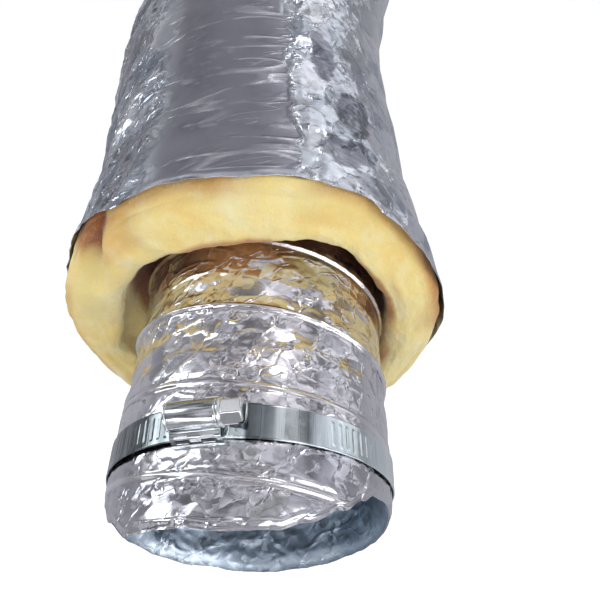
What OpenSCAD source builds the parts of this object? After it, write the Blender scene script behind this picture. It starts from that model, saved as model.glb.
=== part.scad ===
// Insulated flexible air duct: a two-ply foil core carried on a steel wire helix,
// a glass-wool blanket, a crinkled foil jacket and a worm-drive band clamp.
// Frame: origin at the centre of the core's mouth, +Y runs along the duct to its
// rear end, +Z up, +X to the right when looking into the mouth.

/* [Duct] */
// Length from the mouth to the rear cut
duct_len = 780; // [780:1:900]
// Inside radius of the core
core_r = 50.8; // [50.8:0.1:51.2]
// Wall of one core ply
ply_t = 0.4; // [0.35:0.05:0.45]
// Free height between the two core plies, where the wire lies
ply_gap = 1.4; // [1.3:0.1:1.5]
// Diameter of the helix wire
wire_d = 1.0; // [0.9:0.1:1.0]
// Lead of the helix wire, one turn
wire_lead = 32; // [30:1:36]
// Place along the duct where the wire first crosses the top
wire_y0 = 16.5; // [12:0.5:20]

/* [Insulated sleeve] */
// Length of core left bare in front of the sleeve
bare_len = 104.5; // [102:0.5:108]
// Inside radius of the glass-wool blanket
wool_ri = 55.5; // [55:0.1:56]
// Outside radius of the glass-wool blanket
wool_ro = 78; // [76:0.1:80]
// How far the blanket flares at its cut end
wool_flare = 5; // [2:0.1:6]
// Roundness of the blanket's cut edge
wool_round = 10; // [4:0.5:11]
// Place of the blanket's lengthwise butt seam, from the top
seam_a = -55; // [-80:1:-50]
// Opening of the butt seam
seam_w = 1.2; // [0.8:0.1:2]
// Wall of the jacket
jacket_t = 0.4; // [0.35:0.05:0.5]
// How far the jacket's lip stands back from the blanket's cut end
jacket_back = 11; // [10:1:18]

/* [Clamp] */
// Place of the clamp along the duct
clamp_y = 34.5; // [31:0.5:36]
// Place of the worm housing around the duct, from the top
clamp_a = -14.5; // [-40:0.5:40]
// Band width
band_w = 12; // [11:0.5:12]
// Band thickness
band_t = 0.6; // [0.5:0.05:0.6]
// Worm lead, which is also the pitch of the band's grooves
worm_lead = 3; // [3:0.1:3.2]
// Worm crest radius
worm_r = 4.2; // [4.0:0.1:4.2]
// Width across the flats of the screw head
head_af = 8; // [7:0.5:8]
// Length of the screw head
head_len = 7.4; // [6:0.1:8]

/* [Hidden] */
$fn = 96;
gap = 0.6;                       // free space between neighbouring lengths of one layer

// the cuts between the lengths of the duct
swing_y = 342;                   // the duct swings sideways about here
lift_y = 482;                    // and lifts about here
stretch_y = 650;                 // and stretches around here
cuff_y = 197;                    // the sleeve's cuff ends here

ply_in = core_r + ply_t;         // outside of the inner ply
wire_r = ply_in + ply_gap / 2 + 0.05;
outer_ri = ply_in + ply_gap;     // inside of the outer ply
outer_ro = outer_ri + ply_t;     // outside of the outer ply

saddle_ri = outer_ro + 0.15;
saddle_ro = saddle_ri + 0.4;
band_ri = saddle_ro + 0.2;
band_ro = band_ri + band_t;
tongue_ri = band_ro + 0.1;
tongue_ro = tongue_ri + band_t;
screw_z = tongue_ro + 0.25 + worm_r;
arch_ro = worm_r + 1.1;
arch_ri = arch_ro - 0.55;
house_l = 17.2;
wall_in = band_w / 2 + 0.2;
wall_t = 0.55;

foil_in = [0.55, 0.62, 0.70];
foil = [0.83, 0.82, 0.86];
steel = [0.62, 0.66, 0.68];
wool = [0.93, 0.82, 0.52];

// ---- building blocks --------------------------------------------------

// a tube along the duct
module tube(ri, ro, y0, y1)
    translate([0, y0, 0]) rotate([-90, 0, 0]) difference() {
        cylinder(r = ro, h = y1 - y0);
        translate([0, 0, -1]) cylinder(r = ri, h = y1 - y0 + 2);
    }

// a profile of [radius, place along the duct], swept from angle a0 to a1,
// angles counted from +Z towards +X
module sweep(a0, a1, profile)
    rotate([-90, 0, 0]) rotate([0, 0, a0 - 90])
        rotate_extrude(angle = a1 - a0) polygon(profile);

// a length of the blanket, open along its butt seam
module blanket(profile)
    sweep(seam_a + seam_w / 2, seam_a + 360 - seam_w / 2, profile);

function ring_profile(ri, ro, y0, y1) = [[ri, y0], [ro, y0], [ro, y1], [ri, y1]];

// a length of the wire helix between two places along the duct
module wire(y0, y1) {
    sides = 5;
    step = 10;
    rw = wire_d / 2;
    a_lo = (wire_y0 - (y1 - rw - 0.2)) * 360 / wire_lead;
    a_hi = (wire_y0 - (y0 + rw + 0.2)) * 360 / wire_lead;
    n = ceil((a_hi - a_lo) / step);
    pts = [for (i = [0:n]) for (j = [0:sides - 1])
        let (a = a_lo + (a_hi - a_lo) * i / n,
             y = wire_y0 - wire_lead * a / 360,
             q = 360 * j / sides + 180,
             r = wire_r + rw * cos(q))
        [r * sin(a), y + rw * sin(q), r * cos(a)]];
    faces = concat(
        [[for (j = [sides - 1:-1:0]) j]],
        [for (i = [0:n - 1]) for (j = [0:sides - 1])
            let (k = (j + 1) % sides)
            [i * sides + j, i * sides + k, (i + 1) * sides + k, (i + 1) * sides + j]],
        [[for (j = [0:sides - 1]) n * sides + j]]);
    polyhedron(points = pts, faces = faces, convexity = 6);
}

// everything of the clamp is drawn with the housing on top, then turned into place
module at_clamp()
    translate([0, clamp_y, 0]) rotate([0, clamp_a, 0]) children();

// ---- core ---------------------------------------------------------------

module core_inner_ply_front() color(foil_in) tube(core_r, ply_in, 0, swing_y - gap / 2);
module core_inner_ply_mid_front() color(foil_in) tube(core_r, ply_in, swing_y + gap / 2, lift_y - gap / 2);
module core_inner_ply_mid_rear() color(foil_in) tube(core_r, ply_in, lift_y + gap / 2, stretch_y - gap / 2);
module core_inner_ply_rear() color(foil_in) tube(core_r, ply_in, stretch_y + gap / 2, duct_len);

module helix_wire_front() color(steel) wire(0, swing_y - gap / 2);
module helix_wire_mid_front() color(steel) wire(swing_y + gap / 2, lift_y - gap / 2);
module helix_wire_mid_rear() color(steel) wire(lift_y + gap / 2, stretch_y - gap / 2);
module helix_wire_rear() color(steel) wire(stretch_y + gap / 2, duct_len);

outer_cut = 222;
module core_outer_ply_mouth() color(foil) tube(outer_ri, outer_ro, 0, outer_cut - gap / 2);
module core_outer_ply_front() color(foil) tube(outer_ri, outer_ro, outer_cut + gap / 2, swing_y - gap / 2);
module core_outer_ply_mid_front() color(foil) tube(outer_ri, outer_ro, swing_y + gap / 2, lift_y - gap / 2);
module core_outer_ply_mid_rear() color(foil) tube(outer_ri, outer_ro, lift_y + gap / 2, stretch_y - gap / 2);
module core_outer_ply_rear() color(foil) tube(outer_ri, outer_ro, stretch_y + gap / 2, duct_len);

// ---- glass-wool blanket -------------------------------------------------

cuff_end = 172;
mouth_ro = wool_ro + wool_flare;
mouth_ri = wool_ri + 3;
function corner(r, y, rad, q0, q1) =
    [for (i = [0:6]) let (q = q0 + (q1 - q0) * i / 6) [r + rad * cos(q), y + rad * sin(q)]];

module insulation_cuff() color(wool) blanket(concat(
    [[wool_ri, cuff_end]],
    [[wool_ri, bare_len + 26]],
    corner(mouth_ri + wool_round, bare_len + wool_round, wool_round, 180, 270),
    corner(mouth_ro - wool_round, bare_len + wool_round, wool_round, 270, 360),
    [[wool_ro, cuff_end]]));
module insulation_gather() color(wool) blanket(ring_profile(wool_ri, wool_ro, cuff_end + 0.4, 221.6));
module insulation_front() color(wool) blanket(ring_profile(wool_ri, wool_ro, 222, 310));
module insulation_swing() color(wool) blanket(ring_profile(wool_ri, wool_ro, 310.4, 373.6));
module insulation_mid_front() color(wool) blanket(ring_profile(wool_ri, wool_ro, 374, 450));
module insulation_lift() color(wool) blanket(ring_profile(wool_ri, wool_ro, 450.4, 513.6));
module insulation_mid_rear() color(wool) blanket(ring_profile(wool_ri, wool_ro, 514, 600));
module insulation_stretch() color(wool) blanket(ring_profile(wool_ri, wool_ro, 600.4, 699.6));
module insulation_rear() color(wool) blanket(ring_profile(wool_ri, wool_ro, 700, duct_len));

// ---- jacket -------------------------------------------------------------

jacket_ri = wool_ro + 0.35;
jacket_ro = jacket_ri + jacket_t;
lip_y = bare_len + jacket_back;
lip_r = mouth_ro + 0.6;

module jacket_cuff() color(foil) sweep(0, 360, [
    [jacket_ri, cuff_y - gap / 2], [jacket_ri, cuff_end + 2], [lip_r, lip_y],
    [lip_r + jacket_t, lip_y], [jacket_ro, cuff_end + 2], [jacket_ro, cuff_y - gap / 2]]);
module jacket_front() color(foil) tube(jacket_ri, jacket_ro, cuff_y + gap / 2, swing_y - gap / 2);
module jacket_mid_front() color(foil) tube(jacket_ri, jacket_ro, swing_y + gap / 2, lift_y - gap / 2);
module jacket_mid_rear() color(foil) tube(jacket_ri, jacket_ro, lift_y + gap / 2, stretch_y - gap / 2);
module jacket_rear() color(foil) tube(jacket_ri, jacket_ro, stretch_y + gap / 2, duct_len);

// ---- clamp --------------------------------------------------------------

// the band: from its fixed end under the housing, nearly all the way round
module clamp_band() color(steel) at_clamp()
    sweep(-9, 343, ring_profile(band_ri, band_ro, -band_w / 2, band_w / 2));

// the band's free end, grooved for the worm
tongue_a0 = -75;
tongue_a1 = 21;
groove_a = worm_lead / (2 * PI * (tongue_ri + band_t / 2)) * 360;
module clamp_band_tongue() color(steel) at_clamp() difference() {
    sweep(tongue_a0, tongue_a1, ring_profile(tongue_ri, tongue_ro, -band_w / 2, band_w / 2));
    for (i = [0:29])
        rotate([0, tongue_a0 + 3 + i * groove_a, 0])
            translate([-0.6, -4, tongue_ro - 0.3]) cube([1.2, 8, 1]);
}

// the saddle: a curved plate under the band, with side flanges and upright tabs
module clamp_saddle() color(steel) at_clamp() {
    fl = wall_in + wall_t + 0.1;
    sweep(-9.7, 9.7, ring_profile(saddle_ri, saddle_ro, -fl - 0.2, fl + 0.2));
    sweep(-9.3, 9.3, ring_profile(saddle_ri + 0.05, saddle_ri + 2.2, fl, fl + 0.5));
    sweep(-9.3, 9.3, ring_profile(saddle_ri + 0.05, saddle_ri + 2.2, -fl - 0.5, -fl));
    for (s = [-1, 1])
        for (x = [-7.4, 2.2])
            translate([x, s * (fl + 0.25) - 0.2, saddle_ri + 0.9]) cube([5.2, 0.4, 3.6]);
}

// the housing: an arched cover over the worm, with shoulders down to the saddle
module clamp_housing() color(steel) at_clamp() {
    h = house_l;
    shoulder = [[arch_ro - 0.2, screw_z + 0.6], [wall_in + wall_t, screw_z - 2.4],
                [wall_in + wall_t, saddle_ro + 0.15], [wall_in, saddle_ro + 0.15],
                [wall_in, screw_z - 2.7], [arch_ri - 0.3, screw_z - 0.4]];
    // arch
    difference() {
        translate([-h / 2, 0, screw_z]) rotate([0, 90, 0]) cylinder(r = arch_ro, h = h);
        translate([-h / 2 - 1, 0, screw_z]) rotate([0, 90, 0]) cylinder(r = arch_ri, h = h + 2);
        translate([-h / 2 - 1, -8, screw_z - 10]) cube([h + 2, 16, 10]);
    }
    // shoulders and side walls
    for (s = [0, 1])
        mirror([0, s, 0])
            translate([-h / 2, 0, 0]) rotate([90, 0, 90]) linear_extrude(height = h) polygon(shoulder);
    // end rings that carry the worm
    difference() {
        translate([7.6, 0, screw_z]) rotate([0, 90, 0]) cylinder(r = arch_ri + 0.15, h = 0.6);
        translate([7.3, 0, screw_z]) rotate([0, 90, 0]) cylinder(r = 2.25, h = 2);
    }
    difference() {
        translate([-8.2, 0, screw_z]) rotate([0, 90, 0]) cylinder(r = arch_ri + 0.15, h = 0.6);
        translate([-9.3, 0, screw_z]) rotate([0, 90, 0]) cylinder(r = 1.85, h = 2);
    }
}

// the worm thread, a ridge wound round the screw along +X
module worm(x0, turns) {
    seg = 20;
    n = turns * seg;
    root = 2.7;
    pts = [for (i = [0:n]) let (a = 360 * i / seg, x = x0 + worm_lead * i / seg)
        for (p = [[root, -0.95], [root, 0.95], [worm_r, 0.4], [worm_r, -0.4]])
            [x + p[1], -p[0] * sin(a), p[0] * cos(a)]];
    faces = concat(
        [[0, 1, 2, 3]],
        [for (i = [0:n - 1]) for (j = [0:3]) let (k = (j + 1) % 4)
            [(i + 1) * 4 + j, (i + 1) * 4 + k, i * 4 + k, i * 4 + j]],
        [[for (j = [3:-1:0]) n * 4 + j]]);
    polyhedron(points = pts, faces = faces, convexity = 6);
}

module clamp_screw() color([0.75, 0.77, 0.78]) at_clamp() translate([0, 0, screw_z]) {
    rotate([0, 90, 0]) {
        translate([0, 0, -7.1]) cylinder(r = 2.9, h = 14.2);
        translate([0, 0, -8.5]) cylinder(r = 1.8, h = 2);
        translate([0, 0, 6.6]) cylinder(r = 2.2, h = 2.5);
        translate([0, 0, 8.8]) cylinder(r = 4.8, h = 0.95);
        difference() {
            translate([0, 0, 9.55]) rotate([0, 0, 30]) cylinder(d = head_af / cos(30), h = head_len, $fn = 6);
            translate([-0.65, -6, 9.55 + head_len - 2]) cube([1.3, 12, 3]);
        }
    }
    worm(-6, 4);
}

// ---- assembly -----------------------------------------------------------

core_inner_ply_front();
core_inner_ply_mid_front();
core_inner_ply_mid_rear();
core_inner_ply_rear();
helix_wire_front();
helix_wire_mid_front();
helix_wire_mid_rear();
helix_wire_rear();
core_outer_ply_mouth();
core_outer_ply_front();
core_outer_ply_mid_front();
core_outer_ply_mid_rear();
core_outer_ply_rear();
insulation_cuff();
insulation_gather();
insulation_front();
insulation_swing();
insulation_mid_front();
insulation_lift();
insulation_mid_rear();
insulation_stretch();
insulation_rear();
jacket_cuff();
jacket_front();
jacket_mid_front();
jacket_mid_rear();
jacket_rear();
clamp_band();
clamp_band_tongue();
clamp_saddle();
clamp_housing();
clamp_screw();
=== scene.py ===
import math

import bpy
import numpy as np
from mathutils import Matrix, Vector


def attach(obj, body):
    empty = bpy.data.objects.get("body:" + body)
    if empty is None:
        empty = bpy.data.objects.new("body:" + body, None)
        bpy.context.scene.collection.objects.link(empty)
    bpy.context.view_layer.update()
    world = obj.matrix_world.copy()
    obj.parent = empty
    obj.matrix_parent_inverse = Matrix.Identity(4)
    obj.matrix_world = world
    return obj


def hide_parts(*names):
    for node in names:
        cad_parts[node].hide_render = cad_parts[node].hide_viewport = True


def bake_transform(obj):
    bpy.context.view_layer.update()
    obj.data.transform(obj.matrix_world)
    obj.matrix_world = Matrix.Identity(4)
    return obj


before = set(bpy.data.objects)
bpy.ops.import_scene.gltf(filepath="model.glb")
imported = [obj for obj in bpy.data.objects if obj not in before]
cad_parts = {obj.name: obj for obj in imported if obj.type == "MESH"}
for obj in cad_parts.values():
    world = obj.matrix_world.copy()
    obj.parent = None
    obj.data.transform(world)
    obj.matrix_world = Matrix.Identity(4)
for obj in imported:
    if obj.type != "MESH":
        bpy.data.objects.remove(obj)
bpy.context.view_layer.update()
MM = 0.001

# ------------------------------------------------------------------ sizes, mm
LEAD = 32.0          # lead of the wire helix
BEAD_Y0 = 16.5       # where the wire first crosses the top
BARE = 104.5         # front of the blanket
LIP = 115.0          # jacket's lip
LEN = 780.0
ZONES = [(264.0, 412.0), (412.0, 552.0), (552.0, LEN)]
CUFF_END = 264.0
BAND_Y = 34.5
HOUSE_A = -14.5
BAND_RI, BAND_RO = 53.75, 54.35
TONGUE_RI = 54.45
SCREW_Z = 59.5


# ------------------------------------------------------------------ noise
def smooth01(t):
    t = np.clip(t, 0.0, 1.0)
    return t * t * (3 - 2 * t)


def lattice(u, v, nx, cell, m, seed, mode="facet"):
    """Height from -1 to 1 on a lattice that closes round u (0..1) and runs along v (mm)."""
    nx = max(3, int(nx))
    tab = np.random.RandomState(seed).uniform(-1, 1, (nx, 512))
    dia = np.random.RandomState(seed + 7).uniform(0, 1, (nx, 512)) > 0.5
    um = np.mod(u, 1.0)
    s = um * nx
    t = v / cell + m * um + 97.3
    i = np.floor(s).astype(int)
    fs = s - i
    j = np.floor(t).astype(int)
    ft = t - j

    def at(T, i, j):
        w = i // nx
        return T[i % nx, (j - m * w) % 512]

    a, b, c, d = at(tab, i, j), at(tab, i + 1, j), at(tab, i, j + 1), at(tab, i + 1, j + 1)
    if mode == "smooth":
        fs, ft = fs * fs * (3 - 2 * fs), ft * ft * (3 - 2 * ft)
        return (a * (1 - fs) + b * fs) * (1 - ft) + (c * (1 - fs) + d * fs) * ft
    D = at(dia, i, j)
    hA = np.where(fs > ft, a + (b - a) * fs + (d - b) * ft, a + (d - c) * fs + (c - a) * ft)
    hB = np.where(fs + ft < 1, a + (b - a) * fs + (c - a) * ft, d + (c - d) * (1 - fs) + (b - d) * (1 - ft))
    return np.where(D, hA, hB)


def cells(u, v, circ, cell, aspect, m, seed, tilt=0.35):
    """Dished panels meeting in crisp ridges: the lowest of many tilted bowls. About 0 in the dish, 0.5 on a ridge."""
    nx = max(3, int(circ / (cell * aspect)))
    rs = np.random.RandomState(seed)
    jx, jy, c0 = (rs.uniform(0, 1, (nx, 512)) for _ in range(3))
    gx, gy = (rs.uniform(-tilt, tilt, (nx, 512)) for _ in range(2))
    um = np.mod(u, 1.0)
    s = um * nx
    t = v / cell + m * um + 97.3
    i = np.floor(s).astype(int)
    j = np.floor(t).astype(int)
    best = np.full(np.broadcast(s, t).shape, 9.0)
    for di in (-1, 0, 1):
        for dj in (-1, 0, 1):
            ii, jj = i + di, j + dj
            w = ii // nx
            a, b = ii % nx, (jj - m * w) % 512
            dx = s - ii - jx[a, b]
            dy = t - jj - jy[a, b]
            best = np.minimum(best, dx * dx + dy * dy + gx[a, b] * dx + gy[a, b] * dy + 0.25 * c0[a, b])
    return best


def warped(u, v, circ, cell, seed, amount=0.45):
    nx = circ / (cell * 1.7)
    du = lattice(u, v, nx, cell * 1.7, 1, seed + 501, "smooth")
    dv = lattice(u, v, nx, cell * 1.7, -1, seed + 502, "smooth")
    return u + amount * cell * du / circ, v + amount * cell * dv


def crumple(u, v, circ, seed, scales):
    """Sum of faceted folds. scales: (cell along, aspect round/along, height, lean)."""
    h = np.zeros(np.broadcast(u, v).shape)
    for k, (cell, aspect, amp, lean) in enumerate(scales):
        uu, vv = warped(u, v, circ, cell, seed + 31 * k)
        h = h + amp * lattice(uu, vv, circ / (cell * aspect), cell, lean, seed + 31 * k)
    return h


def ridges(u, v, circ, seed, cell, aspect, width, lean, fill=0.5):
    """Thin crisp ridges along the zero lines of a stretched noise, in broken lengths. 0..1"""
    uu, vv = warped(u, v, circ, cell * 2, seed, 0.5)
    n = lattice(uu, vv, circ / (cell * aspect), cell, lean, seed + 3, "smooth")
    mask = lattice(u, v, circ / (cell * aspect * 0.8), cell * 2.2, lean, seed + 4, "smooth")
    r = np.clip(1 - np.abs(n) / width, 0, 1)
    return r * smooth01((mask + fill) / 0.6)


def bead_d(a, y):
    """Distance along the duct from the wire helix, -LEAD/2..LEAD/2."""
    return np.mod(y - BEAD_Y0 + LEAD * a / 360.0 + LEAD / 2, LEAD) - LEAD / 2


def pchip(x, xs, ys):
    """Smooth interpolation through points, flat between equal ones."""
    xs, ys = np.asarray(xs, float), np.asarray(ys, float)
    i = np.clip(np.searchsorted(xs, x) - 1, 0, len(xs) - 2)
    t = np.clip((x - xs[i]) / (xs[i + 1] - xs[i]), 0, 1)
    return ys[i] + (ys[i + 1] - ys[i]) * t * t * (3 - 2 * t)


def wrap180(a):
    return np.mod(a + 180.0, 360.0) - 180.0


# ------------------------------------------------------------------ meshes
def new_mesh(name, verts, faces, smooth=True, attrs=None):
    """verts (n,3) in mm, faces a list of index arrays (k, 3 or 4)."""
    me = bpy.data.meshes.new(name)
    verts = np.asarray(verts, float)
    me.vertices.add(len(verts))
    me.vertices.foreach_set("co", (verts * MM).ravel())
    loops, starts, totals, n = [], [], [], 0
    for f in faces:
        f = np.asarray(f, int)
        if not len(f):
            continue
        k = f.shape[1]
        loops.append(f.ravel())
        starts.append(n + k * np.arange(len(f)))
        totals.append(np.full(len(f), k))
        n += f.size
    loops, starts, totals = (np.concatenate(x) for x in (loops, starts, totals))
    me.loops.add(len(loops))
    me.loops.foreach_set("vertex_index", loops)
    me.polygons.add(len(starts))
    me.polygons.foreach_set("loop_start", starts)
    me.polygons.foreach_set("loop_total", totals)
    me.update(calc_edges=True)
    me.validate()
    me.polygons.foreach_set("use_smooth", np.full(len(me.polygons), smooth))
    for k, val in (attrs or {}).items():
        at = me.attributes.new(k, "FLOAT", "POINT")
        at.data.foreach_set("value", np.asarray(val, float).ravel())
    ob = bpy.data.objects.new(name, me)
    bpy.context.collection.objects.link(ob)
    return ob


def sharp_rings(ob, rings):
    """Crisp edges where a wall ends, so that the shading of its face runs on to the next length."""
    me = ob.data
    ev = np.empty(len(me.edges) * 2, np.int32)
    me.edges.foreach_get("vertices", ev)
    ev = ev.reshape(-1, 2)
    sharp = np.zeros(len(ev), bool)
    for lo, hi in rings:
        sharp |= ((ev >= lo) & (ev < hi)).all(1)
    at = me.attributes.get("sharp_edge") or me.attributes.new("sharp_edge", "BOOLEAN", "EDGE")
    at.data.foreach_set("value", sharp)


def grid_faces(rows, cols, base=0, closed=True, flip=False):
    i = np.arange(rows - 1)[:, None]
    j = np.arange(cols if closed else cols - 1)[None, :]
    jn = (j + 1) % cols
    a = base + i * cols + j
    b = base + i * cols + jn
    c = base + (i + 1) * cols + jn
    d = base + (i + 1) * cols + j
    q = np.stack([a, b, c, d] if not flip else [d, c, b, a], -1)
    return q.reshape(-1, 4)


def polar(r, y, a_deg, x_off=0.0, z_off=0.0):
    a = np.radians(a_deg)
    return np.stack([r * np.sin(a) + x_off, y + 0 * r, r * np.cos(a) + z_off], -1)


def shell(name, a, Y, R_face, R_back, outward, offs=(0.0, 0.0), attrs=None, back_step=4):
    """A thin closed wall round the duct. The face is the full grid (rows, cols); the back is the same
    columns on every back_step-th row. outward: the face is the outside."""
    rows, cols = R_face.shape
    pick = list(range(0, rows, back_step))
    if pick[-1] != rows - 1:
        pick.append(rows - 1)
    P = polar(R_face, Y, a, *[o if np.ndim(o) else np.full_like(R_face, o) for o in offs])
    ob_ = [o[pick] if np.ndim(o) else np.full((len(pick), cols), float(o)) for o in offs]
    B = polar(R_back[pick], Y[pick], a[pick] if a.shape[0] == rows else a, *ob_)
    n1 = rows * cols
    verts = np.concatenate([P.reshape(-1, 3), B.reshape(-1, 3)])
    f = [grid_faces(rows, cols, 0, True, not outward), grid_faces(len(pick), cols, n1, True, outward)]
    j = np.arange(cols)
    jn = (j + 1) % cols
    lo = np.stack([n1 + j, n1 + jn, jn, j], -1)
    top, topb = (rows - 1) * cols, n1 + (len(pick) - 1) * cols
    hi = np.stack([top + j, top + jn, topb + jn, topb + j], -1)
    if not outward:
        lo, hi = lo[:, ::-1], hi[:, ::-1]
    f += [lo, hi]
    at = {}
    for k, val in (attrs or {}).items():
        v = np.broadcast_to(val, (rows, cols))
        at[k] = np.concatenate([v.ravel(), v[pick].ravel()])
    ob = new_mesh(name, verts, f, True, at)
    sharp_rings(ob, [(0, cols), (top, top + cols), (n1, n1 + cols), (topb, topb + cols)])
    return ob


# ------------------------------------------------------------------ materials
class Nodes:
    def __init__(self, name):
        self.mat = bpy.data.materials.new(name)
        self.mat.use_nodes = True
        self.nt = self.mat.node_tree
        self.nt.nodes.clear()
        self.out = self.nt.nodes.new("ShaderNodeOutputMaterial")
        self.bsdf = self.nt.nodes.new("ShaderNodeBsdfPrincipled")
        self.nt.links.new(self.bsdf.outputs[0], self.out.inputs[0])
        self.co = self.nt.nodes.new("ShaderNodeTexCoord").outputs["Object"]

    def link(self, a, b):
        self.nt.links.new(a, b)

    def set(self, **kw):
        for k, v in kw.items():
            sock = self.bsdf.inputs[k.replace("_", " ")]
            if isinstance(v, bpy.types.NodeSocket):
                self.link(v, sock)
            else:
                sock.default_value = v

    def mapping(self, scale, rot=(0, 0, 0), src=None):
        n = self.nt.nodes.new("ShaderNodeMapping")
        n.inputs["Scale"].default_value = scale
        n.inputs["Rotation"].default_value = rot
        self.link(src or self.co, n.inputs[0])
        return n.outputs[0]

    def stretch(self, length, turn, src=None):
        """Space in which a pattern comes out longer along X turned by `turn` about Z."""
        n = self.nt.nodes.new("ShaderNodeMapping")
        n.vector_type = "TEXTURE"
        n.inputs["Scale"].default_value = (length, 1, 1)
        n.inputs["Rotation"].default_value = (0, 0, turn)
        self.link(src or self.co, n.inputs[0])
        return n.outputs[0]

    def noise(self, scale, detail=3, rough=0.5, src=None, dist=0.0):
        n = self.nt.nodes.new("ShaderNodeTexNoise")
        n.inputs["Scale"].default_value = scale
        n.inputs["Detail"].default_value = detail
        n.inputs["Roughness"].default_value = rough
        n.inputs["Distortion"].default_value = dist
        self.link(src or self.co, n.inputs["Vector"])
        return n.outputs["Fac"]

    def voronoi(self, scale, feature="F1", src=None, out="Distance"):
        n = self.nt.nodes.new("ShaderNodeTexVoronoi")
        n.feature = feature
        n.inputs["Scale"].default_value = scale
        self.link(src or self.co, n.inputs["Vector"])
        return n.outputs[out]

    def attr(self, name):
        n = self.nt.nodes.new("ShaderNodeAttribute")
        n.attribute_name = name
        return n.outputs["Fac"]

    def ramp(self, src, stops):
        n = self.nt.nodes.new("ShaderNodeValToRGB")
        el = n.color_ramp.elements
        while len(el) < len(stops):
            el.new(0.5)
        for e, (p, c) in zip(el, stops):
            e.position = p
            e.color = (*c, 1) if len(c) == 3 else c
        self.link(src, n.inputs[0])
        return n.outputs[0]

    def range(self, src, a, b, c, d):
        n = self.nt.nodes.new("ShaderNodeMapRange")
        for k, v in zip(("From Min", "From Max", "To Min", "To Max"), (a, b, c, d)):
            n.inputs[k].default_value = v
        self.link(src, n.inputs[0])
        return n.outputs[0]

    def math(self, op, a, b=0.0, clamp=False):
        n = self.nt.nodes.new("ShaderNodeMath")
        n.operation = op
        n.use_clamp = clamp
        for i, v in enumerate((a, b)):
            if isinstance(v, bpy.types.NodeSocket):
                self.link(v, n.inputs[i])
            else:
                n.inputs[i].default_value = v
        return n.outputs[0]

    def mix(self, fac, a, b, mode="MIX"):
        n = self.nt.nodes.new("ShaderNodeMix")
        n.data_type = "RGBA"
        n.blend_type = mode
        for i, v in ((0, fac), (6, a), (7, b)):
            if isinstance(v, bpy.types.NodeSocket):
                self.link(v, n.inputs[i])
            else:
                n.inputs[i].default_value = v if i == 0 else ((*v, 1) if len(v) == 3 else v)
        return n.outputs[2]

    def vec(self, op, a, b=None, scale=None):
        n = self.nt.nodes.new("ShaderNodeVectorMath")
        n.operation = op
        for i, v in enumerate((a, b)):
            if v is None:
                continue
            if isinstance(v, bpy.types.NodeSocket):
                self.link(v, n.inputs[i])
            else:
                n.inputs[i].default_value = v
        if scale is not None:
            if isinstance(scale, bpy.types.NodeSocket):
                self.link(scale, n.inputs[3])
            else:
                n.inputs[3].default_value = scale
        return n.outputs[0]

    def facets(self, layers):
        """A normal tilted at random over each cell of a few cellular patterns: small flat panels of crumpled foil.
        layers: (cells a metre, tilt socket or value, length, turn)."""
        nrm = self.nt.nodes.new("ShaderNodeNewGeometry").outputs["Normal"]
        self.cells, self.edges = [], []
        wob = self.nt.nodes.new("ShaderNodeTexNoise")
        wob.inputs["Scale"].default_value = 130
        wob.inputs["Detail"].default_value = 2
        self.link(self.co, wob.inputs["Vector"])
        off = self.vec("SCALE", self.vec("SUBTRACT", wob.outputs["Color"], (0.5, 0.5, 0.5)), scale=0.006)
        base = self.vec("ADD", self.co, off)
        for per_m, tilt, length, turn in layers:
            c = self.voronoi(per_m, "F1", src=self.stretch(length, turn, base), out="Color")
            self.cells.append(c)
            self.edges.append(self.voronoi(per_m, "DISTANCE_TO_EDGE", src=self.stretch(length, turn, base)))
            c = self.vec("SUBTRACT", c, (0.5, 0.5, 0.5))
            nrm = self.vec("ADD", nrm, self.vec("SCALE", c, scale=tilt))
        return self.vec("NORMALIZE", nrm)

    def bump(self, height, strength, dist, normal=None):
        n = self.nt.nodes.new("ShaderNodeBump")
        n.inputs["Strength"].default_value = strength
        n.inputs["Distance"].default_value = dist
        self.link(height, n.inputs["Height"])
        if normal:
            self.link(normal, n.inputs["Normal"])
        return n.outputs[0]


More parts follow.
